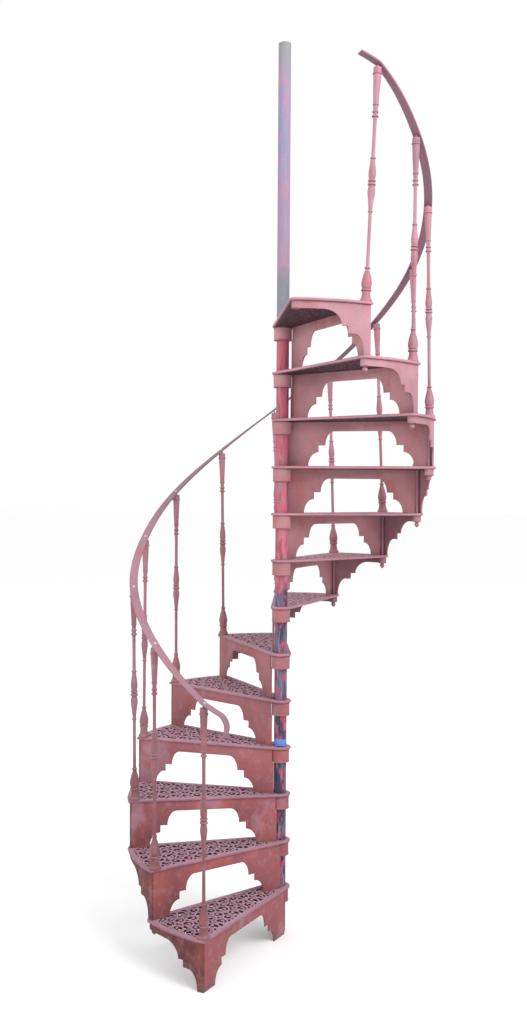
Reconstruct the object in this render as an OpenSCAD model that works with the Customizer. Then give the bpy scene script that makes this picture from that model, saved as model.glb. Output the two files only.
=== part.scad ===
// Cast-iron spiral staircase that climbs clockwise round a central pole.
// Each step is a pierced tread with a hub collar, an arched riser and a
// half-arched fascia. Turned balusters carry a flat, rising handrail.
// Millimetres, Z up, the origin on the pole's axis at the floor.

/* [Overall] */
// number of steps
steps = 13; // [6:1:20]
// height of one step
step_rise = 210; // [160:1:240]
// turn of one step about the pole
step_turn = 25.25; // [18:0.25:36]
// direction of the first baluster, anticlockwise from +X
first_angle = 242.8; // [0:0.1:360]
// length of the pole
pole_h = 3980; // [3000:1:5000]

/* [Pole] */
// outside diameter of the pole
pole_d = 56; // [40:1:90]
// wall of the pole's tube
pole_wall = 5; // [3:0.5:10]
// thickness of the closed foot of the pole
pole_foot_t = 30; // [10:1:60]

/* [Tread] */
// radius of the tread's curved outer edge
tread_r = 682; // [500:1:900]
// thickness of the pierced plate
tread_t = 12; // [8:1:20]
// distance from the baluster's axis to the plate's front edge
tread_lead = 21; // [16:1:40]
// solid margin round the pierced pattern
tread_margin = 20; // [12:1:40]
// radius of the round openings in the plate
pierce_r = 17; // [8:0.5:24]
// distance between neighbouring openings
pierce_pitch = 44; // [28:1:60]

/* [Hub] */
// radius of the hub collar
hub_r = 42; // [34:1:60]
// height of the hub collar
hub_h = 70; // [40:1:120]
// radius of the moulding round the hub collar's top
hub_lip_r = 48; // [38:1:70]
// gap between the pole and the hub collar's bore
hub_gap = 0.4; // [0.1:0.1:2]

/* [Riser] */
// thickness of the riser panel
riser_t = 6.5; // [4:0.5:12]// gap between the tie rod and the riser in front of it
riser_gap = 0.5; // [0.2:0.1:2]
// gap between the riser's inner end and the middle of the pole
riser_start = 20; // [0:1:60]
// distance from the pole's axis to the arch's inner side
arch_start = 112; // [70:1:160]
// width of the riser's outer leg
riser_end_leg = 78; // [50:1:130]
// height of the band above the arch
arch_band = 42; // [20:1:90]
// share of the arch's height in its lower cove
cove_low_part = 0.4; // [0.25:0.01:0.5]
// width of the arch's lower cove
cove_low_w = 45; // [20:1:70]
// share of the arch's height in the step between the coves
arch_step_part = 0.2; // [0.1:0.01:0.35]
// width of the step between the coves
arch_step_w = 33; // [15:1:50]
// width of the arch's upper cove
cove_top_w = 40; // [20:1:80]

/* [Fascia] */
// distance from the fascia's outer face to the tread's outer edge
fascia_in = 10; // [4:1:30]
// thickness of the curved fascia
fascia_t = 7; // [4:0.5:12]
// width of the fascia's leg at the front corner
fascia_leg = 24; // [15:1:60]
// height of the band above the half-arch
half_band = 29; // [15:1:80]
// share of the half-arch's height in its lower cove
half_low_part = 0.47; // [0.25:0.01:0.55]
// width of the half-arch's lower cove
half_low_w = 42; // [20:1:70]
// width of the half-arch's lower step
half_ledge_w = 28; // [10:1:50]
// share of the half-arch's height in its middle step
half_step_part = 0.17; // [0.1:0.01:0.35]
// width of the half-arch's upper step
half_step_w = 26; // [10:1:50]
// width of the half-arch's upper cove
half_top_w = 76; // [30:1:110]

/* [Baluster] */
// distance from the plate's outer edge to each baluster's axis
baluster_in = 30; // [22:1:60]
// height from the tread to the underside of the handrail
baluster_h = 930; // [700:1:1100]
// largest radius of the baluster's foot
foot_r = 25; // [18:0.5:35]
// radius of the tie rod under each baluster
rod_r = 6; // [4:0.5:9]
// gap between the tie rod and the holes it passes through
rod_gap = 0.4; // [0.2:0.1:1.5]
// length of the finial nut below the corner boss
nut_h = 26; // [18:1:60]
// radius of the finial nut
nut_r = 11; // [9:0.5:18]

/* [Handrail] */
// width of the flat handrail bar
rail_w = 36; // [20:1:60]
// thickness of the flat handrail bar
rail_t = 8; // [5:0.5:14]
// radius of the curl at the handrail's foot
curl_r = 52; // [40:1:90]
// length of handrail from the first baluster to its curl
curl_run = 80; // [30:1:120]
// length of the handrail past the last baluster
rail_over = 85; // [30:1:150]

/* [Hidden] */
pole_r = pole_d / 2;
baluster_at = tread_r - baluster_in;          // each baluster's distance from the pole's axis
riser_h = step_rise - tread_t;                // from one plate's top to the next one's underside
fascia_outer = tread_r - fascia_in;
fascia_inner = fascia_outer - fascia_t;
seam = 0.5;                                   // small step where a round part runs into a straight one
corner_r = baluster_in;             // round back corner of the plate, about the rod
boss_r = baluster_in - fascia_in - seam;      // boss under that corner, as wide as the fascia lets it be
edge_r = hub_lip_r - seam;                    // both edges pass the pole's axis at this distance
// The front edge runs from the hub's lip to the front corner, the back edge
// from the hub's lip to the round back corner, so both lean a little inwards.
front_lean = asin((edge_r - tread_lead) / baluster_at);
back_lean = asin((edge_r - corner_r) / baluster_at);
riser_in = tread_lead - rod_r - riser_gap - riser_t;   // from the plate's front edge to the riser
riser_front = edge_r - riser_in;              // from the pole's axis, square to the riser
riser_end = sqrt(pow(fascia_inner, 2) - pow(riser_front, 2)) - 0.2;
arch_h = riser_h - arch_band;
half_arch_h = riser_h - half_band;
fascia_arc = fascia_inner * step_turn * PI / 180 + tread_lead - riser_in;
rise_slope = step_rise / (baluster_at * step_turn * PI / 180);
rail_angle = atan(rise_slope);                // slope of the handrail's helix
tenon_r = 5;
neck_r = 16;
FINE = 64;
// How far each baluster's head leans towards +X, first step first.
head_lean = [-5, -5, -8, 4, -3, -12, -25, -28, -37, -29, -15, 6, 40];

function step_name(n) = str(n < 10 ? "0" : "", n);
function step_angle(n) = first_angle - (n - 1) * step_turn;
function step_z(n) = n * step_rise;
function head_x(n) = n < 1 ? head_lean[0]
    : n > min(steps, len(head_lean)) ? head_lean[min(steps, len(head_lean)) - 1]
    : head_lean[n - 1];

// Moves a child from the step's own frame, whose +X runs out through the
// baluster and whose z = 0 is the tread's top, to its place on the stair.
module at_step(n) {
    translate([0, 0, step_z(n)]) rotate([0, 0, step_angle(n)]) children();
}

// Places a child where the next step's baluster and tie rod stand.
module at_next_rod() {
    rotate([0, 0, -step_turn]) translate([baluster_at, 0]) children();
}

// ---- pole ----
module pole() {
    color("IndianRed")
    difference() {
        cylinder(r = pole_r, h = pole_h, $fn = FINE);
        translate([0, 0, pole_foot_t])
            cylinder(r = pole_r - pole_wall, h = pole_h, $fn = FINE);
    }
}

// ---- hub collars ----
module collars() {
    color("Salmon")
    for (n = [1:steps]) translate([0, 0, step_z(n) - hub_h]) difference() {
        cylinder(r = hub_r, h = hub_h - tread_t, $fn = FINE);
        translate([0, 0, -1]) cylinder(r = pole_r + hub_gap, h = hub_h, $fn = FINE);
    }
}

// ---- treads ----
// Space between the front edge and the back edge, both moved in by their own
// distance.
module wedge(front_in, back_in) {
    reach = 1.3 * tread_r;
    a = -front_lean;
    b = back_lean - step_turn;
    front = edge_r - front_in;
    back = edge_r - back_in;
    polygon([
        [0, 0],
        front * [-sin(a), cos(a)],
        front * [-sin(a), cos(a)] + reach * [cos(a), sin(a)],
        1.2 * reach * [cos(step_turn / 2), -sin(step_turn / 2)],
        back * [sin(b), -cos(b)] + reach * [cos(b), sin(b)],
        back * [sin(b), -cos(b)]]);
}

// Outline of the plate: a wedge with a round back corner and the hub's lip.
module plate() {
    difference() {
        intersection() {
            circle(tread_r, $fn = 180);
            wedge(0, 0);
        }
        at_next_rod() translate([0, -2 * corner_r]) square(2 * corner_r);
    }
    at_next_rod() circle(corner_r - seam, $fn = FINE);
    circle(hub_lip_r, $fn = FINE);
}

// Rows of round openings that follow the curve of the outer edge.
module piercing() {
    clear = tread_margin + pierce_r;
    last_row = tread_r - clear;
    rows = floor((last_row - hub_lip_r - clear) / pierce_pitch);
    for (k = [0:rows]) {
        row_r = last_row - k * pierce_pitch;
        from = asin((hub_lip_r - clear) / row_r) - front_lean;
        to = back_lean - step_turn - asin((hub_lip_r - clear) / row_r);
        span = (from - to) * PI / 180 * row_r;
        gaps = max(0, floor(span / pierce_pitch));
        for (i = [0:gaps]) {
            a = gaps == 0 ? (from + to) / 2 : from + (to - from) * i / gaps;
            centre = row_r * [cos(a), sin(a)];
            // the balusters' feet stand on solid metal
            ahead = norm(centre - [baluster_at, 0]);
            behind = norm(centre - baluster_at * [cos(step_turn), -sin(step_turn)]);
            if (span >= 0 && min(ahead, behind) > foot_r + pierce_r + 1)
                translate(centre) circle(pierce_r, $fn = 32);
        }
    }
}

module tread(n) {
    color("RosyBrown")
    at_step(n) translate([0, 0, -tread_t]) linear_extrude(tread_t) difference() {
        plate();
        piercing();
        circle(pole_r + hub_gap, $fn = FINE);
        // holes for this baluster's rod and for the next one's
        translate([baluster_at, 0]) circle(rod_r + rod_gap, $fn = 32);
        at_next_rod() circle(rod_r + rod_gap, $fn = 32);
    }
}

// ---- risers ----
// Quarter of an oval from low, where it stands upright, to high, where it lies flat.
function cove(low, high, turns = 8) = [for (i = [0:turns])
    let (a = 90 * i / turns)
    [high[0] + (low[0] - high[0]) * cos(a), low[1] + (high[1] - low[1]) * sin(a)]];

// One side of a stepped arch: cove, ledge, upright, ledge, cove, from the foot up.
// at is the foot's place, side is +1 or -1, the way the arch opens, and widths
// are those of the lower cove, the lower ledge, the upper ledge and the upper cove.
function arch_side(at, side, height, low_part, step_part, widths) = let (
    low = low_part * height, high = low + step_part * height,
    a = at + side * widths[0], b = a + side * widths[1], c = b + side * widths[2])
    concat([[at, -1]], cove([at, 0], [a, low]), [[b, low], [b, high]],
        cove([c, high], [c + side * widths[3], height]));

function reversed(list) = [for (i = [len(list) - 1:-1:0]) list[i]];

// Opening of the riser, the same on both sides.
module arch() {
    polygon(concat(
        arch_side(arch_start, 1, arch_h, cove_low_part, arch_step_part,
            [cove_low_w, 2, arch_step_w - 2, cove_top_w]),
        reversed(arch_side(riser_end - riser_end_leg, -1, arch_h, cove_low_part, arch_step_part,
            [cove_low_w, 2, arch_step_w - 2, cove_top_w]))));
}

module riser(n) {
    color("Brown")
    at_step(n) difference() {
        rotate([0, 0, -front_lean]) translate([0, riser_front, -step_rise]) rotate([90, 0, 0])
            linear_extrude(riser_t) difference() {
                translate([riser_start, 0]) square([riser_end - riser_start, riser_h]);
                arch();
            }
        translate([0, 0, -step_rise - 1])
            cylinder(r = pole_r + hub_gap, h = step_rise, $fn = FINE);
        translate([0, 0, -hub_h]) cylinder(r = hub_r + hub_gap, h = hub_h, $fn = FINE);
    }
}

// ---- fascias ----
// Opening of the fascia: half an arch, open towards the back of the step.
module half_arch() {
    foot = fascia_arc / 2 - fascia_leg;
    polygon(concat(
        [[-fascia_arc, -1]],
        arch_side(foot, -1, half_arch_h, half_low_part, half_step_part,
            [half_low_w, half_ledge_w, half_step_w, half_top_w]),
        [[-fascia_arc, half_arch_h]]));
}

// Plan of the fascia: a curved wall that ends in a boss round the next tie rod.
module fascia_plan() {
    difference() {
        union() {
            intersection() {
                difference() {
                    circle(fascia_outer, $fn = 180);
                    circle(fascia_inner, $fn = 180);
                }
                difference() {
                    wedge(riser_in, 0);
                    rotate([0, 0, -step_turn]) translate([0, -tread_r]) square([2 * tread_r, tread_r]);
                }
            }
            at_next_rod() circle(boss_r, $fn = FINE);
        }
        at_next_rod() circle(rod_r + rod_gap, $fn = 32);
    }
}

module fascia(n) {
    color("FireBrick")
    at_step(n) translate([0, 0, -step_rise]) difference() {
        linear_extrude(riser_h) fascia_plan();
        rotate([0, 0, -step_turn / 2]) translate([fascia_inner - 60, 0, 0])
            rotate([90, 0, 90]) linear_extrude(120) half_arch();
    }
}

// ---- balusters ----
// Outline of a rounded ring of half-height h and bulge b on a stem of radius r.
function bead(z, h, r, b) = [for (a = [-90:30:90]) [r + b * cos(a), z + h * sin(a)]];

// Right-hand outline of the turned baluster, t long, from its foot to its tenon.
function baluster_outline(t) = let (neck = t - neck_r * rise_slope) concat(
    [[0, -2], [foot_r, -2], [foot_r, 0.006 * t], [21.5, 0.013 * t],
     [17.5, 0.03 * t], [16.5, 0.041 * t]],
    bead(0.051 * t, 5, 16, 4.5),
    [[18, 0.061 * t], [20.5, 0.071 * t], [20.5, 0.082 * t], [18, 0.099 * t],
     [13.5, 0.118 * t], [8.5, 0.135 * t]],
    bead(0.145 * t, 4, 8, 3.5),
    [[6.8, 0.157 * t], [6.8, 0.374 * t]],
    bead(0.382 * t, 4, 7.5, 3),
    [[7.5, 0.392 * t], [11, 0.42 * t], [14.5, 0.455 * t], [15, 0.47 * t], [12, 0.486 * t]],
    bead(0.496 * t, 5, 11.5, 5),
    bead(0.515 * t, 4, 11.5, 4.5),
    [[13.5, 0.526 * t], [14.5, 0.54 * t], [10.5, 0.59 * t]],
    bead(0.606 * t, 4, 8, 3.5),
    [[7.4, 0.616 * t], [7.4, 0.77 * t]],
    bead(0.781 * t, 4, 9, 4.5),
    bead(0.8 * t, 4, 9, 3.5),
    bead(0.83 * t, 3, 10.5, 2),
    [[11, 0.84 * t], [13.5, 0.9 * t], [15.5, 0.95 * t]],
    bead(0.96 * t, 4, 15.5, 3.5),
    [[neck_r, neck - 8], [neck_r, neck - 0.8], [tenon_r, neck - 0.8],
     [tenon_r, t - tenon_r * rise_slope - 0.3], [0, t - tenon_r * rise_slope - 0.3]]);

// The rod, and below the boss of the step underneath it the pointed finial nut.
// The first step's rod stands on the floor.
function rod_outline(first) = let (seat = half_arch_h - 2 * step_rise) first
    ? [[0, -step_rise], [rod_r, -step_rise], [rod_r, 1], [0, 1]]
    : [[0, seat - nut_h], [0.15 * nut_r, seat - 0.98 * nut_h], [0.4 * nut_r, seat - 0.82 * nut_h],
       [0.75 * nut_r, seat - 0.7 * nut_h], [nut_r, seat - 0.5 * nut_h],
       [0.9 * nut_r, seat - 0.3 * nut_h], [0.65 * nut_r, seat - 0.18 * nut_h],
       [0.85 * nut_r, seat - 0.12 * nut_h], [0.85 * nut_r, seat], [rod_r, seat], [rod_r, 1], [0, 1]];

module baluster(n) {
    lean = atan(head_x(n) / baluster_h);
    translate([0, 0, step_z(n)]) rotate([0, 0, step_angle(n)])
        translate([baluster_at, 0, 0]) {
            difference() {
                rotate([0, 0, -step_angle(n)]) rotate([0, lean, 0])
                    rotate_extrude($fn = 48) polygon(baluster_outline(baluster_h / cos(lean)));
                translate([-2 * foot_r, -2 * foot_r, -2 * foot_r]) cube([4 * foot_r, 4 * foot_r, 2 * foot_r]);
            }
            rotate_extrude($fn = 48) polygon(rod_outline(n == 1));
        }
}

module balusters() {
    color("Plum") for (n = [1:steps]) baluster(n);
}

// ---- handrail ----
// A station of the rail is [place, angle round the pole, pitch of the bar].
// Its underside rests on the balusters; pitch is the slope going down.
rail_per_step = 5;
curl_from = -25;
curl_to = -145;

// Smooth curve through the heads' lean, for any place between two steps.
function rail_lean(x) = let (i = floor(x), t = x - i,
    a = head_x(i - 1), b = head_x(i), c = head_x(i + 1), d = head_x(i + 2))
    (2 * b + (c - a) * t + (2 * a - 5 * b + 4 * c - d) * t * t
        + (3 * b - a - 3 * c + d) * t * t * t) / 2;

function on_circle(n, z, pitch) = let (a = step_angle(n))
    [[baluster_at * cos(a) + rail_lean(n), baluster_at * sin(a), z], a, pitch];

function off_end(s, z, pitch) = let (a = first_angle)
    [[baluster_at * cos(a) - s * sin(a) + head_x(1), baluster_at * sin(a) + s * cos(a),
      step_z(1) + baluster_h + z], a, pitch];

rail_stations = concat(
    [for (g = [curl_to:8:curl_from])
        off_end(curl_run * cos(curl_from) + curl_r * (sin(-g) - sin(-curl_from)),
                curl_run * sin(curl_from) - curl_r * (cos(curl_from) - cos(g)), g)],
    [off_end(curl_run / 2 * cos(curl_from), curl_run / 2 * sin(curl_from) - 1, curl_from - 3)],
    [for (k = [0:(steps - 1) * rail_per_step])
        let (n = 1 + k / rail_per_step)
        on_circle(n, step_z(n) + baluster_h, -rail_angle)],
    [let (turn = rail_over / baluster_at * 180 / PI, z = step_z(steps) + baluster_h)
        for (i = [1:3])
        on_circle(steps + turn / step_turn * i / 3,
                  z + rail_over * tan(rail_angle / 2) * i / 3, -rail_angle / 2)]);

function rail_corner(st, side, lift) =
    let (a = st[1], g = st[2], up = [-sin(g), cos(g)])
    st[0] + side * rail_w / 2 * [cos(a), sin(a), 0]
          + lift * rail_t * [-up[0] * sin(a), up[0] * cos(a), up[1]];

module handrail() {
    last = len(rail_stations) - 1;
    points = [for (st = rail_stations)
        for (c = [[-1, 0], [1, 0], [1, 1], [-1, 1]]) rail_corner(st, c[0], c[1])];
    sides = [for (i = [0:last - 1]) for (j = [0:3])
        let (p = 4 * i + j, q = 4 * i + (j + 1) % 4)
        for (f = [[p, q, q + 4], [p, q + 4, p + 4]]) f];
    color("Thistle")
    polyhedron(points, concat([[3, 2, 1], [3, 1, 0]], sides,
        [[4 * last, 4 * last + 1, 4 * last + 2], [4 * last, 4 * last + 2, 4 * last + 3]]));
}

pole();
collars();
balusters();
handrail();
for (n = [1:steps]) {
    tread(n);
    riser(n);
    fascia(n);
}
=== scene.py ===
import math

import bmesh
import bpy
import numpy as np
from mathutils import Matrix, Vector
from mathutils.geometry import delaunay_2d_cdt


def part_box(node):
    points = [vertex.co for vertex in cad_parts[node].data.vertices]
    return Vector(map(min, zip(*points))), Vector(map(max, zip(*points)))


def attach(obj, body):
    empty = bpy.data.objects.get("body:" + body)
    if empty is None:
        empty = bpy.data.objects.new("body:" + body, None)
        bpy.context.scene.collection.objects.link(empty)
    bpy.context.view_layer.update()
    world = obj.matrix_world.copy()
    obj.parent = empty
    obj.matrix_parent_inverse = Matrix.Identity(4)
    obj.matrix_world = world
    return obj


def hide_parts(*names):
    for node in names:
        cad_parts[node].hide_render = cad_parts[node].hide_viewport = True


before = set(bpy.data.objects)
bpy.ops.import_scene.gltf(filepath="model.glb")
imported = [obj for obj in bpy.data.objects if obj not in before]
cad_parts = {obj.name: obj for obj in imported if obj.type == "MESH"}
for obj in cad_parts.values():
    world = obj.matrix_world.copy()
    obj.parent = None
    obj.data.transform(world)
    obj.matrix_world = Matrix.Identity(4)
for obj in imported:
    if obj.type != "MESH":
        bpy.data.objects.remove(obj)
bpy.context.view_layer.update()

# ---- the stair's driving sizes, in metres and degrees ----
STEPS = sum(name.startswith("tread_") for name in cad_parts)
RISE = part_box("tread_02")[1][2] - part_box("tread_01")[1][2]
PLATE_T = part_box("tread_01")[1][2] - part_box("tread_01")[0][2]
POLE_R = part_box("pole")[1][0]
TURN = math.radians(25.25)      # from one step to the next
FIRST = math.radians(242.8)     # direction of the first baluster, from +X
TREAD_R = 0.682
LEAD = 0.021                    # baluster's axis to the plate's front edge
CORNER_R = 0.030                # plate's round back corner, about the next rod
MARGIN = 0.024                  # solid border round the scrollwork
HUB_R, HUB_LIP, HUB_H, HUB_GAP = 0.042, 0.048, 0.070, 0.0004
EDGE_R = HUB_LIP - 0.0005       # the plate's edges pass the pole's axis at this distance
ROD_R, ROD_GAP = 0.006, 0.0004  # tie rod, and the gap round it in each hole that it passes through
RISER_T = 0.0065
RISER_IN = LEAD - ROD_R - 0.0005 - RISER_T
FASCIA_R, FASCIA_T = TREAD_R - 0.0135, 0.007    # middle of the fascia's wall
BALUSTER_AT = TREAD_R - CORNER_R
BALUSTER_H = 0.930
BOSS_R = 0.0195
HALF_BAND = 0.029               # band over a fascia's half-arch, and the boss behind it
NUT_R, NUT_H = 0.011, 0.026
RAIL_W, RAIL_T = 0.036, 0.008
CURL_R, CURL_RUN, RAIL_OVER = 0.052, 0.080, 0.085
NOSING_R = PLATE_T / 2
PANEL_H = RISE - PLATE_T
# How far each baluster's head leans towards +X, in millimetres, first step first.
HEAD_LEAN = [lean / 1000 for lean in (-5, -5, -8, 4, -3, -12, -25, -28, -37, -29, -15, 6, 40)]

FRONT_LEAN = math.asin((EDGE_R - LEAD) / BALUSTER_AT)
BACK_LEAN = math.asin((EDGE_R - CORNER_R) / BALUSTER_AT)
RISE_SLOPE = RISE / (BALUSTER_AT * TURN)
NEXT_ROD = (BALUSTER_AT * math.cos(TURN), -BALUSTER_AT * math.sin(TURN))


def step_angle(n):
    return FIRST - (n - 1) * TURN


def step_matrix(n):
    """The step's own frame: +X runs out through its baluster and z = 0 is the tread's top."""
    return Matrix.Translation((0, 0, n * RISE)) @ Matrix.Rotation(step_angle(n), 4, "Z")


def polar(r, a):
    return (r * math.cos(a), r * math.sin(a))


# ---- camera, floor and light ----
def camera():
    data = bpy.data.cameras.new("camera")
    data.sensor_width = 36
    data.lens = 36.62
    ob = bpy.data.objects.new("camera", data)
    bpy.context.collection.objects.link(ob)
    place, turn, tilt, roll = (0, -4.679, 1.978), 0.0175, -0.0181, 0.0065
    ob.matrix_world = (Matrix.Translation(place) @ Matrix.Rotation(turn, 4, "Z")
                       @ Matrix.Rotation(math.pi / 2 + tilt, 4, "X") @ Matrix.Rotation(roll, 4, "Z"))
    bpy.context.scene.camera = ob


def plain(name, colour, roughness):
    m = bpy.data.materials.new(name)
    m.use_nodes = True
    shader = m.node_tree.nodes["Principled BSDF"]
    shader.inputs["Base Color"].default_value = (*colour, 1)
    shader.inputs["Roughness"].default_value = roughness
    return m


def studio():
    bpy.ops.mesh.primitive_plane_add(size=200)
    floor = bpy.context.object
    floor.name = "floor"
    floor.data.materials.append(plain("floor", (0.985, 0.985, 0.985), 0.9))
    world = bpy.context.scene.world or bpy.data.worlds.new("world")
    bpy.context.scene.world = world
    world.use_nodes = True
    sky = world.node_tree.nodes["Background"]
    sky.inputs["Color"].default_value = (1, 1, 1, 1)
    sky.inputs["Strength"].default_value = 1.0
    middle = Vector((0, 0, 1.8))
    for name, place, size, power in (("key", (3.5, -4.0, 6.0), 3.5, 260), ("fill", (-5, -4, 4), 4, 90)):
        light = bpy.data.lights.new(name, "AREA")
        light.energy, light.size = power, size
        ob = bpy.data.objects.new(name, light)
        bpy.context.collection.objects.link(ob)
        ob.location = place
        ob.rotation_euler = (middle - Vector(place)).to_track_quat("-Z", "Y").to_euler()


camera()
studio()
bpy.context.scene.view_settings.view_transform = "Standard"


# ---- materials ----
def srgb(r, g, b):
    return tuple((c / 255 / 12.92) if c / 255 < 0.04045 else ((c / 255 + 0.055) / 1.055) ** 2.4
                 for c in (r, g, b))


class Nodes:
    """Short calls for the few kinds of shader node that the paints use."""

    def __init__(self, name):
        self.material = bpy.data.materials.new(name)
        self.material.use_nodes = True
        self.tree = self.material.node_tree
        self.shader = self.tree.nodes["Principled BSDF"]
        geometry = self.tree.nodes.new("ShaderNodeNewGeometry")
        self.place, self.normal = geometry.outputs["Position"], geometry.outputs["True Normal"]

    def link(self, a, b):
        self.tree.links.new(a, b)

    def set(self, value, socket):
        if isinstance(value, bpy.types.NodeSocket):
            self.link(value, socket)
        elif isinstance(value, tuple) and len(value) == 3 and socket.type == "RGBA":
            socket.default_value = (*value, 1)
        else:
            socket.default_value = value

    def noise(self, scale, detail=6.0, rough=0.6, stretch=None):
        k = self.tree.nodes.new("ShaderNodeTexNoise")
        k.inputs["Scale"].default_value = scale
        k.inputs["Detail"].default_value = detail
        k.inputs["Roughness"].default_value = rough
        place = self.place
        if stretch:
            m = self.tree.nodes.new("ShaderNodeMapping")
            m.inputs["Scale"].default_value = stretch
            self.link(place, m.inputs["Vector"])
            place = m.outputs["Vector"]
        self.link(place, k.inputs["Vector"])
        return k.outputs["Fac"]

    def ramp(self, value, a, b, low=0.0, high=1.0):
        k = self.tree.nodes.new("ShaderNodeMapRange")
        k.inputs["From Min"].default_value, k.inputs["From Max"].default_value = a, b
        k.inputs["To Min"].default_value, k.inputs["To Max"].default_value = low, high
        self.link(value, k.inputs["Value"])
        return k.outputs["Result"]

    def mix(self, factor, a, b):
        k = self.tree.nodes.new("ShaderNodeMix")
        k.data_type = "RGBA"
        colours = [s for s in k.inputs if s.type == "RGBA"]
        self.link(factor, k.inputs[0])
        self.set(a, colours[0])
        self.set(b, colours[1])
        return [s for s in k.outputs if s.type == "RGBA"][0]

    def axis(self, vector, name):
        k = self.tree.nodes.new("ShaderNodeSeparateXYZ")
        self.link(vector, k.inputs[0])
        return k.outputs[name]

    def finish(self, colour, rough, grain):
        self.link(colour, self.shader.inputs["Base Color"])
        self.shader.inputs["Specular IOR Level"].default_value = 0.3
        gloss = self.ramp(self.noise(60), 0, 1, rough - 0.1, rough + 0.2)
        self.link(gloss, self.shader.inputs["Roughness"])
        bump = self.tree.nodes.new("ShaderNodeBump")
        bump.inputs["Strength"].default_value = 0.3
        bump.inputs["Distance"].default_value = grain
        self.link(self.noise(150, 8, 0.65), bump.inputs["Height"])
        self.link(bump.outputs["Normal"], self.shader.inputs["Normal"])
        return self.material


def paint(name, high, low, deep, pale, dust_and_top_light=0.35, shade=0.75, brick=0.3, chalk=0.3, opening_shade=0.0, bare=0.0,
          rough=0.62):
    """Old paint over cast iron. high is its colour at the stair's top and low at the floor, deep its
    worn places and the painted shade on faces that point down, and pale the chalky dusting and the
    painted light on whatever faces up. brick and chalk are how strong its orange-red and its grey
    patches are, painted shade darkens the upright walls of openings, and bare wears a length at mid
    height to grey metal."""
    n = Nodes(name)
    z = n.axis(n.place, "Z")
    c = n.mix(n.ramp(z, 0.5, 2.5), low, high)
    c = n.mix(n.ramp(n.noise(3.5, 5), 0.4, 0.72, 0, 0.5), c, deep)
    c = n.mix(n.ramp(n.noise(6, 5, 0.6, (1, 1.2, 0.7)), 0.5, 0.62, 0, brick), c, srgb(168, 82, 74))
    c = n.mix(n.ramp(n.noise(5, 5, 0.6, (1.3, 0.9, 0.8)), 0.54, 0.64, 0, chalk), c, srgb(152, 122, 134))
    c = n.mix(n.ramp(n.noise(28, 8, 0.7), 0.5, 0.75, 0, 0.35), c, pale)
    c = n.mix(n.ramp(n.noise(170, 3, 0.5), 0.64, 0.76, 0, 0.5), c, deep)
    if bare:
        c = n.mix(n.ramp(z, 1.85, 2.05, 0, bare), c, srgb(104, 98, 98))
        c = n.mix(n.ramp(z, 2.65, 2.95, 0, bare), c, high)
    up = n.axis(n.normal, "Z")
    # Painted light: faces that point up turn towards pale, partly chalky dusting and partly painted light
    # on their tops.
    c = n.mix(n.ramp(up, 0.3, 0.9, 0, dust_and_top_light), c, pale)
    # Painted shade: faces that point down turn towards deep, as strongly as shade says.
    c = n.mix(n.ramp(up, -0.3, -0.9, 0, shade), c, deep)
    # Painted shade: faces that do not point up, chiefly the upright walls of the openings, turn nearly
    # black-purple so that the holes read dark.
    if opening_shade:
        c = n.mix(n.ramp(up, 0.8, 0.2, 0, opening_shade), c, srgb(46, 24, 36))
    grime = n.tree.nodes.new("ShaderNodeMath")
    grime.operation = "MULTIPLY_ADD"
    n.link(n.noise(20, 4), grime.inputs[0])
    grime.inputs[1].default_value = 0.09
    n.link(z, grime.inputs[2])
    c = n.mix(n.ramp(grime.outputs[0], 0.085, 0.04, 0, 0.6), c, srgb(92, 80, 80))
    return n.finish(c, rough, 0.0012)


def pipe_paint():
    """The pole's layers from the floor up: blue-black with rose runs, brighter rose between the upper
    steps, a teal-grey length above the last step, lilac with pink streaks, and a bare grey end."""
    n = Nodes("pipe_paint")
    z = n.axis(n.place, "Z")
    wave = n.tree.nodes.new("ShaderNodeMath")
    wave.operation = "MULTIPLY_ADD"
    n.link(n.noise(14, 3, 0.5), wave.inputs[0])
    wave.inputs[1].default_value = 0.16
    n.link(z, wave.inputs[2])
    level = wave.outputs[0]
    long_runs = n.noise(20, 4, 0.6, (1.3, 1.3, 0.22))
    spots = n.noise(44, 6, 0.62, (1, 1, 0.4))
    threads = n.noise(90, 4, 0.6, (1, 1, 0.1))

    def layer(ground, run, spot, thread, spot_share=(0.56, 0.64), strong=0.8):
        c = n.mix(n.ramp(long_runs, 0.48, 0.6), ground, run)
        c = n.mix(n.ramp(spots, *spot_share, 0, strong), c, spot)
        return n.mix(n.ramp(threads, 0.54, 0.66, 0, 0.6), c, thread)

    foot = layer(srgb(54, 52, 72), srgb(84, 92, 112), srgb(184, 62, 92), srgb(150, 142, 158), (0.51, 0.58))
    middle = layer(srgb(190, 98, 116), srgb(150, 76, 94), srgb(124, 134, 142), srgb(96, 50, 66))
    grey = layer(srgb(126, 128, 136), srgb(110, 122, 136), srgb(150, 120, 136), srgb(150, 150, 156))
    head = layer(srgb(156, 130, 152), srgb(132, 132, 162), srgb(184, 118, 146), srgb(160, 144, 166),
                 (0.5, 0.7), 0.7)
    c = n.mix(n.ramp(level, 1.60, 1.68), foot, middle)
    c = n.mix(n.ramp(level, 2.72, 2.76), c, grey)
    c = n.mix(n.ramp(level, 3.00, 3.06), c, head)
    c = n.mix(n.ramp(level, 3.92, 4.00), c, srgb(136, 138, 142))
    c = n.mix(n.ramp(n.noise(150, 4), 0.62, 0.76, 0, 0.4), c, srgb(60, 46, 56))
    return n.finish(c, 0.55, 0.001)


def tape_paint():
    n = Nodes("tape_blue")
    c = n.mix(n.ramp(n.noise(90, 5), 0.35, 0.7), srgb(72, 116, 190), srgb(98, 138, 204))
    return n.finish(c, 0.6, 0.0005)


def screw_paint():
    n = Nodes("screw_bright")
    c = n.mix(n.ramp(n.noise(200, 4), 0.4, 0.7), srgb(214, 200, 202), srgb(150, 118, 120))
    return n.finish(c, 0.45, 0.0004)


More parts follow.
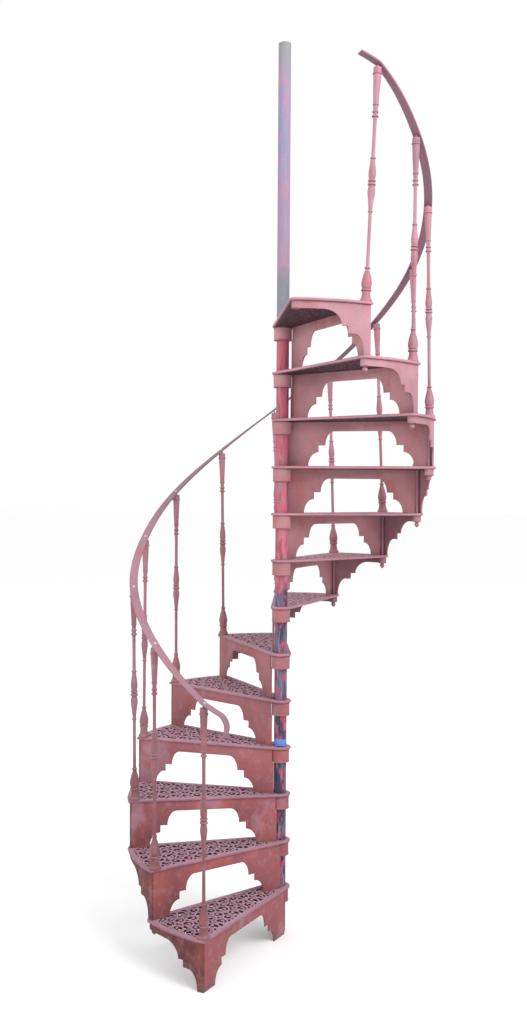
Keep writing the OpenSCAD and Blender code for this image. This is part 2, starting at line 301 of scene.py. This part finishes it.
MAUVE = srgb(198, 142, 154), srgb(140, 96, 112), srgb(88, 56, 66), srgb(186, 150, 166)
RED_PALE = srgb(184, 142, 150)
TREAD = paint("tread_mauve", *MAUVE, shade=0.5, brick=0.15)
# The lattice takes more painted light on its tops and painted shade on the walls of its openings.
LATTICE = paint("tread_lattice", *MAUVE, dust_and_top_light=0.5, shade=0.3, brick=0.15, opening_shade=0.92)
RISER = paint("riser_red", srgb(188, 137, 142), srgb(138, 77, 81), srgb(92, 50, 56), RED_PALE,
              dust_and_top_light=0.2, brick=0.45, chalk=0.55)
FASCIA = paint("fascia_red", srgb(188, 138, 148), srgb(86, 46, 48), srgb(72, 38, 42), RED_PALE, dust_and_top_light=0.2)
BALUSTER = paint("baluster_rose", srgb(180, 128, 144), srgb(118, 76, 80), srgb(88, 52, 56),
                 srgb(190, 150, 162), brick=0.4, rough=0.42)
RAIL = paint("rail_rose", srgb(166, 120, 138), srgb(144, 104, 114), srgb(96, 64, 80),
             srgb(184, 148, 162), dust_and_top_light=0.2, shade=0.6, bare=0.75)
PIPE, TAPE, SCREW = pipe_paint(), tape_paint(), screw_paint()


# ---- mesh helpers ----
def smooth(mesh, angle=38):
    mesh.shade_smooth()
    mesh.set_sharp_from_angle(angle=math.radians(angle))
    return mesh


def settle(bm, mesh):
    """Gives the faces of each solid one winding and writes them into the mesh."""
    bmesh.ops.recalc_face_normals(bm, faces=bm.faces)
    bm.to_mesh(mesh)
    bm.free()
    return mesh


def lathe(name, outline, segments, ring=False):
    """Turns the (radius, height) outline about Z. A ring's outline closes on itself."""
    bm = bmesh.new()
    rows = []
    for r, z in outline:
        if r < 1e-6:
            rows.append([bm.verts.new((0, 0, z))] * segments)
        else:
            rows.append([bm.verts.new((*polar(r, 2 * math.pi * i / segments), z)) for i in range(segments)])
    pairs = list(zip(rows, rows[1:])) + ([(rows[-1], rows[0])] if ring else [])
    for low, high in pairs:
        for i in range(segments):
            j = (i + 1) % segments
            corners = list(dict.fromkeys((low[i], low[j], high[j], high[i])))
            if len(corners) > 2:
                bm.faces.new(corners)
    return smooth(settle(bm, bpy.data.meshes.new(name)))


def closed_curve(name, points, **settings):
    """Mesh of a curve with these settings that runs through the points and closes on itself."""
    curve = bpy.data.curves.new(name, "CURVE")
    for key, value in settings.items():
        setattr(curve, key, value)
    spline = curve.splines.new("POLY")
    spline.points.add(len(points) - 1)
    spline.points.foreach_set("co", [c for point in points for c in (*point, 1)])
    spline.use_cyclic_u = True
    ob = bpy.data.objects.new(name, curve)
    bpy.context.collection.objects.link(ob)
    mesh = bpy.data.meshes.new_from_object(ob.evaluated_get(bpy.context.evaluated_depsgraph_get()))
    bpy.data.objects.remove(ob)
    mesh.name = name
    return mesh


def slab(name, outline, thickness):
    """A flat panel between z = -thickness / 2 and +thickness / 2 with softened edges."""
    soft, weld = 0.0011, 1e-5
    mesh = closed_curve(name, [(x, y, 0) for x, y in outline], dimensions="2D", fill_mode="BOTH",
                        extrude=thickness / 2 - soft, bevel_depth=soft, bevel_resolution=1, offset=-soft)
    bm = bmesh.new()
    bm.from_mesh(mesh)
    bmesh.ops.remove_doubles(bm, verts=bm.verts, dist=weld)
    return settle(bm, mesh)


def tube(bm, rows, name):
    """Joins equal closed rows of points one after another and caps both ends."""
    for low, high in zip(rows, rows[1:]):
        for i in range(len(low)):
            j = (i + 1) % len(low)
            bm.faces.new((low[i], low[j], high[j], high[i]))
    bm.faces.new(rows[0])
    bm.faces.new(rows[-1])
    return settle(bm, bpy.data.meshes.new(name))


def add(name, mesh, place, material, slot, *nodes):
    """A piece of its own at place, with the place worked into its mesh."""
    mesh = mesh.copy()
    mesh.transform(place)
    mesh.materials.append(material)
    ob = bpy.data.objects.new(name, mesh)
    bpy.context.collection.objects.link(ob)
    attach(ob, "root")
    if nodes:
        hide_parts(*nodes)
    return ob


def arc(cx, cy, rx, ry, a, b, turns=8):
    """Points on an oval from angle a to angle b, in degrees."""
    return [(cx + rx * math.cos(math.radians(a + (b - a) * i / turns)),
             cy + ry * math.sin(math.radians(a + (b - a) * i / turns))) for i in range(turns + 1)]


# ---- treads ----
def scroll(centre, rx, ry, turned, start, hand, bar):
    """Bar that runs once round an oval and then curls in to a bud: rows of x, y and half-width."""
    turns, straight, count = 1.45, 0.72, 90
    curl, taper, bud, bud_rows = 0.74, 0.25, 1.45, 6
    k = np.linspace(0, 1, count)
    wind = np.clip((k * turns - straight) / (turns - straight), 0, 1)
    q = 1 - curl * wind ** 0.8
    a = start + hand * 2 * math.pi * turns * k
    x, y = rx * q * np.cos(a), ry * q * np.sin(a)
    width = bar * (1 - taper * wind)
    width[-bud_rows:] = bar * bud
    return np.stack((centre[0] + x * math.cos(turned) - y * math.sin(turned),
                     centre[1] + x * math.sin(turned) + y * math.cos(turned), width), 1)


def leaf(p, q, bow, thin, thick):
    """Bowed stroke from p to q that swells in the middle."""
    k = np.linspace(0, 1, 20)[:, None]
    p, q = np.array(p), np.array(q)
    side = np.array((p[1] - q[1], q[0] - p[0]))
    swell = np.sin(math.pi * k)
    return np.hstack((p + (q - p) * k + side * bow * swell, thin + (thick - thin) * swell))


def scrollwork():
    """Rows of scrolls that follow the outer edge, mirrored about the step's middle, with a leaf on
    each side of every scroll."""
    rows, inner, pitch, shortest, bar = 11, 0.082, 0.055, 0.02, 0.0044
    bow, thin, thick = 0.25, 0.002, 0.0046
    outer = TREAD_R - MARGIN
    height = (outer - inner) / rows
    strokes = []
    for row in range(rows):
        r = outer - height * (row + 0.5)
        lean = math.asin((EDGE_R - MARGIN) / r)
        front, back = lean - FRONT_LEAN, BACK_LEAN - TURN - lean
        span = (front - back) * r
        if span < shortest:
            continue
        count = max(1, round(span / pitch))
        width = span / count
        for i in range(count):
            a = front - (i + 0.5) * width / r
            hand = 1 if i < count / 2 else -1
            start = math.radians(35 + 70 * ((row + i) % 3)) * hand
            rx, ry = (height - bar) / 2, (width - bar) / 2
            strokes.append(scroll(polar(r, a), rx, ry, a, start, hand, bar))
            for side in (-1, 1):
                near, far = a + side * width / r * 0.32, a + side * width / r * 0.5
                strokes.append(leaf(polar(r + height * 0.33, near), polar(r + height * 0.55, far),
                                    bow * side, thin, thick))
    return np.vstack(strokes)


def plate_field():
    """Distance into the metal, below zero outside the plate and in its openings, on a fine grid."""
    grid, reach, spare = 0.0016, 0.012, 0.008
    low_y, high_y, outside = -0.330, 0.062, -1
    hub_disc, foot_disc, rod_disc = 0.080, 0.032, 0.026     # solid metal round the hub and the balusters
    xs = np.arange(-HUB_LIP - spare, TREAD_R + spare, grid)
    ys = np.arange(low_y, high_y, grid)
    x, y = np.meshgrid(xs, ys, indexing="ij")
    r = np.hypot(x, y)
    b = BACK_LEAN - TURN
    front = EDGE_R - (x * math.sin(FRONT_LEAN) + y * math.cos(FRONT_LEAN))
    back = EDGE_R - (x * math.sin(b) - y * math.cos(b))
    inside = np.minimum(np.minimum(front, back), TREAD_R - r)
    along = x * math.cos(TURN) - y * math.sin(TURN)
    across = x * math.sin(TURN) + y * math.cos(TURN)
    next_rod = np.hypot(x - NEXT_ROD[0], y - NEXT_ROD[1])
    corner = (along > BALUSTER_AT) & (across < 0)
    inside = np.where(corner, np.minimum(inside, CORNER_R - next_rod), inside)
    # Behind the pole there is only the hub's lip.
    inside = np.maximum(np.where(x < 0, outside, inside), HUB_LIP - r)
    metal = np.maximum(MARGIN - inside, hub_disc - r)
    metal = np.maximum(metal, foot_disc - np.hypot(x - BALUSTER_AT, y))
    metal = np.maximum(metal, rod_disc - next_rod)
    near = int(reach / grid) + 1
    for px, py, half in scrollwork():
        i, j = int((px - xs[0]) / grid), int((py - ys[0]) / grid)
        cut = (slice(max(0, i - near), i + near + 2), slice(max(0, j - near), j + near + 2))
        metal[cut] = np.maximum(metal[cut], half - np.hypot(x[cut] - px, y[cut] - py))
    field = np.minimum(metal, inside - NOSING_R)
    field = np.minimum(field, r - POLE_R - HUB_GAP)
    return xs, ys, np.minimum(field, next_rod - ROD_R - ROD_GAP)


def zero_lines(xs, ys, field):
    """Closed lines round the places where the field is above zero."""
    inside = field > 0
    grid = xs[1] - xs[0]
    follow = {}

    def crossing(kind, i, j):
        """Where the line crosses the cell edge that runs from i, j along X (kind 0) or Y (kind 1)."""
        a = field[i, j]
        b = field[i + 1, j] if kind == 0 else field[i, j + 1]
        t = a / (a - b)
        return (xs[i] + (t * grid if kind == 0 else 0), ys[j] + (0 if kind == 0 else t * grid))

    mixed = (inside[:-1, :-1].astype(int) + inside[1:, :-1] + inside[1:, 1:] + inside[:-1, 1:]) % 4 != 0
    for i, j in zip(*np.nonzero(mixed)):
        corners = (inside[i, j], inside[i + 1, j], inside[i + 1, j + 1], inside[i, j + 1])
        edges = ((0, i, j), (1, i + 1, j), (0, i, j + 1), (1, i, j))
        # Walking round the cell, each edge is left or entered where the inside ends or begins.
        starts = [k for k in range(4) if corners[k] and not corners[(k + 1) % 4]]
        ends = [k for k in range(4) if not corners[k] and corners[(k + 1) % 4]]
        for k in starts:
            partner = min(ends, key=lambda e: (k - e) % 4)
            follow[edges[k]] = edges[partner]
            ends.remove(partner)
    loops = []
    while follow:
        first, at = next(iter(follow.items()))
        del follow[first]
        loop = [crossing(*first)]
        while at != first:
            loop.append(crossing(*at))
            at = follow.pop(at)
        loops.append(loop)
    return loops


def thin_out(loop, allowed):
    """Leaves out points of a closed line that lie nearer than allowed to the line without them."""
    points = np.array(loop)
    half = int(np.argmax(np.hypot(*(points - points[0]).T)))
    keep = {0, half}
    stack = [(0, half), (half, len(points))]
    closed = np.vstack((points, points[:1]))
    while stack:
        a, b = stack.pop()
        if b - a < 2:
            continue
        p, q = closed[a], closed[b]
        d = q - p
        rest = closed[a + 1:b] - p
        off = np.abs(d[0] * rest[:, 1] - d[1] * rest[:, 0]) / max(1e-9, np.hypot(*d))
        far = int(np.argmax(off))
        if off[far] > allowed:
            keep.add(a + 1 + far)
            stack += [(a, a + 1 + far), (a + 1 + far, b)]
    return points[sorted(i for i in keep if i < len(points))]


def within(points, loops):
    """Which points lie inside an odd number of the closed loops."""
    a = np.vstack(loops)
    b = np.vstack([np.roll(loop, -1, axis=0) for loop in loops])
    rise = np.where(a[:, 1] == b[:, 1], 1, b[:, 1] - a[:, 1])
    inside = []
    for x, y in points:
        spans = (a[:, 1] > y) != (b[:, 1] > y)
        crossed = a[:, 0] + (b[:, 0] - a[:, 0]) * (y - a[:, 1]) / rise
        inside.append(np.count_nonzero(spans & (x < crossed)) % 2 == 1)
    return inside


def plate_mesh():
    """The pierced plate. Its edges slope between the metal's outline and a line just inside it."""
    soft, skin = 0.0009, 0.0003         # the slope's width, and how far the plate lies within the nosing
    allowed, speck, weld = 0.0003, 8, 1e-7
    xs, ys, field = plate_field()
    outlines, insets = ([thin_out(line, allowed) for line in zero_lines(xs, ys, field - level)
                         if len(line) > speck] for level in (0, soft))
    points, edges = [], []
    for loop in outlines + insets:
        first, count = len(points), len(loop)
        points += [Vector(p) for p in loop]
        edges += [(first + i, first + (i + 1) % count) for i in range(count)]
    rim = sum(len(loop) for loop in outlines)
    flat, _, faces, origins, _, _ = delaunay_2d_cdt(points, edges, [], 0, weld, True)
    middles = [sum((flat[v] for v in face), Vector((0, 0))) / len(face) for face in faces]
    faces = [face for face, inside in zip(faces, within(middles, outlines)) if inside]
    drop = [skin + (0 if o and min(o) >= rim else soft) for o in origins]
    tops = [(x, y, -d) for (x, y), d in zip(flat, drop)]
    undersides = [(x, y, d - PLATE_T) for (x, y), d in zip(flat, drop)]
    count = len(flat)
    under_faces = [[v + count for v in reversed(face)] for face in faces]
    used = {(a, b) for face in faces for a, b in zip(face, face[1:] + face[:1])}
    walls = sorted((a, a + count, b + count, b) for a, b in used if (b, a) not in used)
    mesh = bpy.data.meshes.new("tread_plate")
    mesh.from_pydata(tops + undersides, [], faces + under_faces + walls)
    bm = bmesh.new()
    bm.from_mesh(mesh)
    bmesh.ops.delete(bm, geom=[v for v in bm.verts if not v.link_faces], context="VERTS")
    return smooth(settle(bm, mesh))


def nosing_mesh():
    """Round bar along the plate's outline and round the hub's lip. The plate ends on its middle line,
    so that it shows as a half-round moulding."""
    r, tight = TREAD_R - NOSING_R, HUB_LIP - NOSING_R
    front = math.degrees(math.asin((EDGE_R - NOSING_R) / r) - FRONT_LEAN)
    back = math.degrees(BACK_LEAN - TURN) - 90
    path = arc(0, 0, r, r, front, -math.degrees(TURN), 24)
    path += arc(*NEXT_ROD, CORNER_R - NOSING_R, CORNER_R - NOSING_R, -math.degrees(TURN), back, 8)[1:]
    path += arc(0, 0, tight, tight, back, math.degrees(-FRONT_LEAN) + 90 - 360, 30)
    mesh = closed_curve("tread_nosing", [(x, y, -PLATE_T / 2) for x, y in path], dimensions="3D",
                        bevel_depth=NOSING_R, bevel_resolution=3)
    return smooth(mesh, 50)


# ---- risers and fascias ----
def cove(low, high, turns=14):
    """Quarter of an oval from low, where it stands upright, to high, where it lies flat."""
    return [(high[0] + (low[0] - high[0]) * math.cos(a), low[1] + (high[1] - low[1]) * math.sin(a))
            for a in (math.pi / 2 * i / turns for i in range(turns + 1))]


def arch_side(at, side, height, low_part, step_part, widths):
    """One side of a stepped arch, from its foot up: cove, ledge, upright, ledge, cove."""
    low, high = low_part * height, (low_part + step_part) * height
    a = at + side * widths[0]
    b = a + side * widths[1]
    c = b + side * widths[2]
    return cove((at, 0), (a, low)) + [(b, low), (b, high)] + cove((c, high), (c + side * widths[3], height))


def riser_mesh():
    """Stepped arch from the hub collar to the fascia, drawn flat and then stood on the tread below."""
    front, gap = EDGE_R - RISER_IN, 0.0002
    end = math.sqrt((FASCIA_R - FASCIA_T / 2) ** 2 - front ** 2) - gap
    start, notch = 0.020, 0.0265        # the edge by the hub, under the collar and beside it
    first_leg, last_leg, band, low_part, step_part = 0.112, 0.078, 0.042, 0.4, 0.2
    arch = (PANEL_H - band, low_part, step_part, (0.045, 0.002, 0.031, 0.040))
    outline = [(start, 0)] + arch_side(first_leg, 1, *arch) + arch_side(end - last_leg, -1, *arch)[::-1]
    outline += [(end, 0), (end, PANEL_H), (notch, PANEL_H), (notch, RISE - HUB_H), (start, RISE - HUB_H)]
    mesh = slab("riser_panel", outline, RISER_T)
    upright = Matrix.Rotation(math.pi / 2, 4, "X")
    mesh.transform(Matrix.Rotation(-FRONT_LEAN, 4, "Z")
                   @ Matrix.Translation((0, front - RISER_T / 2, -RISE)) @ upright)
    return smooth(mesh)


def fascia_mesh():
    """Drawn flat, cut into narrow strips and then curved round the pole."""
    wall, leg, strips, weld = FASCIA_R, 0.024, 40, 1e-5
    ahead = math.asin((EDGE_R - RISER_IN) / wall) - FRONT_LEAN
    x_front, x_back = wall * math.sin(ahead + TURN / 2), -wall * math.sin(TURN / 2)
    foot = ((wall - FASCIA_T / 2) * TURN + LEAD - RISER_IN) / 2 - leg
    low_part, step_part, top = 0.47, 0.17, PANEL_H - HALF_BAND
    outline = [(x_front, 0)] + arch_side(foot, -1, top, low_part, step_part, (0.042, 0.028, 0.026, 0.076))
    outline += [(x_back, top), (x_back, PANEL_H), (x_front, PANEL_H)]
    mesh = slab("fascia_panel", outline, FASCIA_T)
    bm = bmesh.new()
    bm.from_mesh(mesh)
    for i in range(1, strips):
        x = x_back + (x_front - x_back) * i / strips
        bmesh.ops.bisect_plane(bm, geom=bm.verts[:] + bm.edges[:] + bm.faces[:],
                               plane_co=(x, 0, 0), plane_no=(1, 0, 0), dist=weld)
    for v in bm.verts:
        x, z, out = v.co
        v.co = (*polar(wall + out, math.asin(x / wall) - TURN / 2), z - RISE)
    return smooth(settle(bm, mesh))


def boss_mesh():
    """Round boss under the tread's back corner, with the hole that the next tie rod passes through."""
    top, low, hole, soft = -PLATE_T, -PLATE_T - HALF_BAND, ROD_R + ROD_GAP, 0.004
    outline = [(hole, top), (hole, low)] + arc(BOSS_R - soft, low + soft, soft, soft, -90, 0, 5)
    return lathe("corner_boss", outline + [(BOSS_R, top)], 32, ring=True)


def collar_mesh():
    """Hub collar with a small round moulding at its foot and its head."""
    hole, low, top = POLE_R + HUB_GAP, -HUB_H, -PLATE_T
    ring, wall = 0.0035, HUB_R - 0.0015
    outline = [(hole, top), (hole, low)]
    outline += arc(HUB_R - ring, low + ring, ring, ring, -90, 60, 6)
    outline += [(wall, low + 0.009), (wall, top - 0.010)]
    outline += arc(HUB_R - ring, top - ring - 0.002, ring, ring, -40, 90, 6) + [(HUB_R - ring, top)]
    return lathe("hub_collar", outline, 48, ring=True)


# ---- balusters ----
def between(a, b, c, d, t):
    """Smooth value at share t of the way from b to c, which come after a and before d."""
    return (2 * b + (c - a) * t + (2 * a - 5 * b + 4 * c - d) * t ** 2
            + (3 * b - a - 3 * c + d) * t ** 3) / 2


def run(points, steps=5):
    """Smooth line through points."""
    p = [points[0]] + points + [points[-1]]
    line = []
    for i in range(1, len(p) - 2):
        four = list(zip(p[i - 1], p[i], p[i + 1], p[i + 2]))
        line += [tuple(between(*values, k / steps) for values in four) for k in range(steps)]
    return line + [points[-1]]


def bead(z, half, stem, bulge):
    return arc(stem, z, bulge, half, -90, 90, 8)


def baluster_mesh():
    """Radii and half-heights are in millimetres, and heights are shares of the baluster's own."""
    t, mm = BALUSTER_H, 0.001
    neck_r, tenon_r = 16 * mm, 5 * mm
    neck = t - neck_r * RISE_SLOPE
    top = t - tenon_r * RISE_SLOPE - 0.3 * mm

    def at(pairs):
        return [(r * mm, share * t) for r, share in pairs]

    def ring(share, half, stem, bulge):
        return bead(share * t, half * mm, stem * mm, bulge * mm)

    outline = ([(0, 0.0002), (25 * mm, 0.0002)] + at([(25, 0.006)])
               + run(at([(24, 0.0085), (21.5, 0.013), (18.6, 0.021), (17, 0.031), (16.2, 0.044)]))
               + ring(0.051, 5, 16, 4.5)
               + run(at([(17, 0.0575), (19.4, 0.065), (20.7, 0.0765), (20.3, 0.086), (18, 0.099),
                         (14.5, 0.115), (10.5, 0.129), (8.2, 0.139)]))
               + ring(0.145, 4, 8, 3.5) + at([(6.8, 0.157), (6.6, 0.26), (6.8, 0.374)])
               + ring(0.382, 3.6, 7.2, 3)
               + run(at([(7.4, 0.388), (9, 0.405), (11.5, 0.43), (14.4, 0.455), (14.9, 0.468),
                         (13.2, 0.481), (11.8, 0.489)]))
               + ring(0.496, 5, 11.5, 5) + ring(0.5105, 4, 11.5, 4.5)
               + run(at([(12, 0.517), (13.8, 0.527), (14.6, 0.54), (13.4, 0.557), (11, 0.578), (8.6, 0.6)]))
               + ring(0.606, 4, 8, 3.5) + at([(7.4, 0.616), (7, 0.69), (7.4, 0.77)])
               + ring(0.781, 4, 9, 4.5) + ring(0.8, 4, 9, 3.5)
               + run(at([(8.6, 0.808), (9.6, 0.82), (10.2, 0.826)]))
               + ring(0.83, 3, 10.5, 2)
               + run(at([(10.6, 0.836), (12.2, 0.87), (14, 0.91), (15.4, 0.95)]))
               + ring(0.96, 4, 15.5, 3.3)
               + [(neck_r, 0.966 * t), (neck_r, neck - 2 * mm), (neck_r - mm, neck - mm),
                  (tenon_r, neck - 0.8 * mm), (tenon_r, top), (0, top)])
    return lathe("baluster", outline, 32)


def rod_mesh(first):
    """Tie rod, with the ball-shaped finial nut under the boss of the step below."""
    if first:
        return lathe("tie_rod_first", [(0, -RISE), (ROD_R, -RISE), (ROD_R, 0), (0, 0)], 20)
    seat = PANEL_H - HALF_BAND - 2 * RISE

    def at(pairs):
        return [(share * NUT_R, seat - down * NUT_H) for share, down in pairs]

    outline = at([(0, 1)]) + run(at([(0.1, 0.99), (0.32, 0.88), (0.68, 0.74), (0.96, 0.58), (1, 0.45),
                                     (0.86, 0.28), (0.64, 0.18)]))
    outline += at([(0.85, 0.14), (0.85, 0)]) + [(ROD_R, seat), (ROD_R, 0), (0, 0)]
    return lathe("tie_rod", outline, 24)


# ---- handrail ----
def head_x(n):
    """Lean of baluster n's head. The first and the last stand for those beyond them."""
    return HEAD_LEAN[max(1, min(STEPS, n)) - 1]


def rail_lean(x):
    """Lean of the handrail at step x, which may lie between two balusters."""
    i = math.floor(x)
    return between(*(head_x(i + k) for k in (-1, 0, 1, 2)), x - i)


# A station is a point on the middle of the handrail's underside, its direction round the pole and
# the angle that it climbs at.
def on_circle(n, z, pitch):
    a = step_angle(n)
    x, y = polar(BALUSTER_AT, a)
    return Vector((x + rail_lean(n), y, z)), a, pitch


def off_end(s, z, pitch):
    """At distance s ahead of the first baluster, and z above its head."""
    a = FIRST
    return Vector((BALUSTER_AT * math.cos(a) - s * math.sin(a) + head_x(1),
                   BALUSTER_AT * math.sin(a) + s * math.cos(a), RISE + BALUSTER_H + z)), a, pitch


def rail_up(a, pitch):
    """Square to the handrail's flat, away from the balusters."""
    return Vector((math.sin(pitch) * math.sin(a), -math.sin(pitch) * math.cos(a), math.cos(pitch)))


def rail_stations():
    slope = math.atan(RISE_SLOPE)
    start, end = math.radians(-25), math.radians(-145)      # where the foot's curl begins and ends
    curl_parts, per_step, end_parts = 24, 10, 3
    out_x, out_z = CURL_RUN * math.cos(start), CURL_RUN * math.sin(start)
    out = []
    for i in range(curl_parts + 1):
        g = end + (start - end) * i / curl_parts
        out.append(off_end(out_x + CURL_R * (math.sin(-g) - math.sin(-start)),
                           out_z - CURL_R * (math.cos(start) - math.cos(g)), g))
    out.append(off_end(out_x / 2, out_z / 2 - 0.001, start - 0.05))
    for k in range((STEPS - 1) * per_step + 1):
        n = 1 + k / per_step
        out.append(on_circle(n, n * RISE + BALUSTER_H, -slope))
    over, z = RAIL_OVER / BALUSTER_AT / TURN, STEPS * RISE + BALUSTER_H
    climb = RAIL_OVER * math.tan(slope / 2)
    for k in (i / end_parts for i in range(1, end_parts + 1)):
        out.append(on_circle(STEPS + over * k, z + climb * k, -slope / 2))
    return out


def rail_mesh():
    """A flat bar with rounded edges, swept through the stations."""
    soft = 0.0026
    side, top = RAIL_W / 2 - soft, RAIL_T - soft
    corners = (side, soft, -90), (side, top, 0), (-side, top, 90), (-side, soft, 180)
    section = [point for x, y, a in corners for point in arc(x, y, soft, soft, a, a + 90, 3)]
    bm = bmesh.new()
    rows = []
    for point, a, pitch in rail_stations():
        across, up = Vector((*polar(1, a), 0)), rail_up(a, pitch)
        rows.append([bm.verts.new(point + across * x + up * y) for x, y in section])
    return smooth(tube(bm, rows, "handrail"), 50)


def screw_place(n):
    point, a, pitch = on_circle(n, n * RISE + BALUSTER_H, -math.atan(RISE_SLOPE))
    up = rail_up(a, pitch)
    return Matrix.Translation(point + up * RAIL_T) @ up.to_track_quat("Z", "Y").to_matrix().to_4x4()


def screw_mesh():
    """Domed screw head, sunk a little into the handrail, with a small pit in its middle."""
    r, h, sunk, pit_r, pit = 0.0065, 0.0018, 0.001, 0.0014, 0.4
    outline = [(0, -sunk), (r, -sunk), (r, 0)] + arc(0, 0, r, h, 12, 70, 4)
    return lathe("rail_screw", outline + [(pit_r, h * 0.97), (pit_r, h * pit), (0, h * pit)], 20)


# ---- tape on the pole ----
def tape_mesh():
    """Strip wound most of the way round the pole, with torn ends."""
    z, height, middle, wound = 4 * RISE + 0.004, 0.030, math.radians(-95), math.radians(300)
    skin, sunk, wander, tear, count = 0.0003, 0.2, 0.002, 0.003, 48
    section = ((z, sunk), (z, 1), (z + height, 1), (z + height, sunk))
    bm = bmesh.new()
    rows = []
    for i in range(count + 1):
        a = middle + wound * (i / count - 0.5)
        slip = wander * math.sin(3 * a) + (tear * math.sin(17 * a) if i in (0, count) else 0)
        rows.append([bm.verts.new((*polar(POLE_R + skin * k, a), h + slip)) for h, k in section])
    return smooth(tube(bm, rows, "tape"))


# ---- the stair ----
def build():
    plate, nosing, boss = plate_mesh(), nosing_mesh(), boss_mesh()
    riser, fascia = riser_mesh(), fascia_mesh()
    collar, baluster, screw = collar_mesh(), baluster_mesh(), screw_mesh()
    rods = {True: rod_mesh(True), False: rod_mesh(False)}
    at_next = Matrix.Translation((*NEXT_ROD, 0))
    for n in range(1, STEPS + 1):
        here, tag = step_matrix(n), f"{n:02d}"
        add(f"tread_plate_{tag}", plate, here, LATTICE, "tread_paint", f"tread_{tag}")
        add(f"tread_nosing_{tag}", nosing, here, TREAD, "tread_paint", f"tread_{tag}")
        add(f"hub_collar_{tag}", collar, here, RISER, "tread_paint", "collars")
        add(f"riser_panel_{tag}", riser, here, RISER, "riser_paint", f"riser_{tag}")
        add(f"fascia_panel_{tag}", fascia, here, FASCIA, "fascia_paint", f"fascia_{tag}")
        add(f"corner_boss_{tag}", boss, here @ at_next, FASCIA, "fascia_paint", f"fascia_{tag}")
        foot = here @ Matrix.Translation((BALUSTER_AT, 0, 0))
        lean = Matrix.Rotation(math.atan(head_x(n) / BALUSTER_H), 4, "Y")
        unturned = Matrix.Rotation(-step_angle(n), 4, "Z")
        add(f"baluster_{tag}", baluster, foot @ unturned @ lean, BALUSTER, "baluster_paint", "balusters")
        add(f"tie_rod_{tag}", rods[n == 1], foot, BALUSTER, "baluster_paint", "balusters")
        add(f"rail_screw_{tag}", screw, screw_place(n), SCREW, "rail_paint")
    add("handrail_bar", rail_mesh(), Matrix.Identity(4), RAIL, "rail_paint", "handrail")
    add("pole_tape", tape_mesh(), Matrix.Identity(4), TAPE, "pole_paint")
    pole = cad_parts["pole"]
    pole.data.materials.clear()
    pole.data.materials.append(PIPE)


build()
